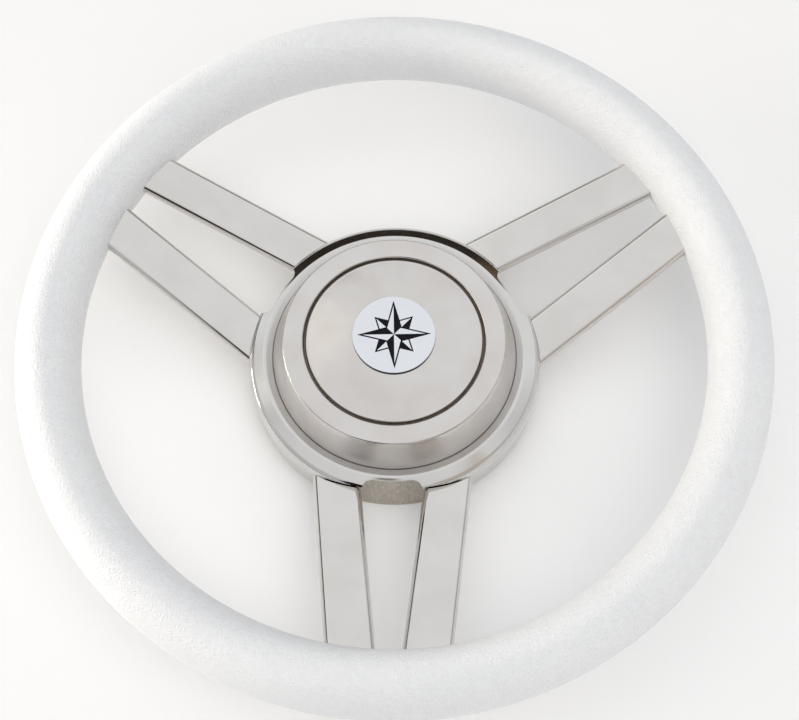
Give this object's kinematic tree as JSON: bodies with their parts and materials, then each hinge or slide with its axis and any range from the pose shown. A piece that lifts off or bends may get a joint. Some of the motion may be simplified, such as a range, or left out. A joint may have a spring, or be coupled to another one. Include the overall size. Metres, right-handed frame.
{
  "type": "boat steering wheel",
  "caption": "Dished boat steering wheel: pairs of polished flat bars join a covered round hub, bored for a keyed taper shaft, to a white moulded rim.",
  "frame": {"origin": "centre of the hub's flat back face, where the wheel rests when it lies face up", "axes": "+Z along the shaft axis, towards the driver; +Y towards twelve o'clock on the wheel"},
  "size_m": [0.3499, 0.35, 0.0555],
  "materials": {
    "polished_steel": "mirror-polished stainless steel",
    "bar_steel": "polished stainless steel",
    "satin_steel": "satin turned steel",
    "hidden_steel": "plain machined steel",
    "screw_steel": "plain stainless steel",
    "rim_polymer": "white moulded polyurethane with a leather grain",
    "black_rubber": "black rubber",
    "emblem_enamel": "white face with a black compass rose"
  },
  "bodies": {
    "root": {"rim_core": "hidden_steel", "rim_grip": "rim_polymer", "hub_body": "satin_steel", "hub_bell": "polished_steel", "shaft_boss": "hidden_steel", "boss_screws": "screw_steel", "cap_seat": "hidden_steel", "cap_seat_screws": "screw_steel", "cap_seat_ring": "black_rubber", "cap_collar": "polished_steel", "cap_disc": "polished_steel", "cap_disc_screws": "screw_steel", "cap_gasket": "black_rubber", "emblem_disc": "emblem_enamel", "spoke_bar_right_first": "bar_steel", "spoke_bar_right_second": "bar_steel", "spoke_bar_left_first": "bar_steel", "spoke_bar_left_second": "bar_steel", "spoke_bar_bottom_first": "bar_steel", "spoke_bar_bottom_second": "bar_steel"}
  },
  "joints": []
}
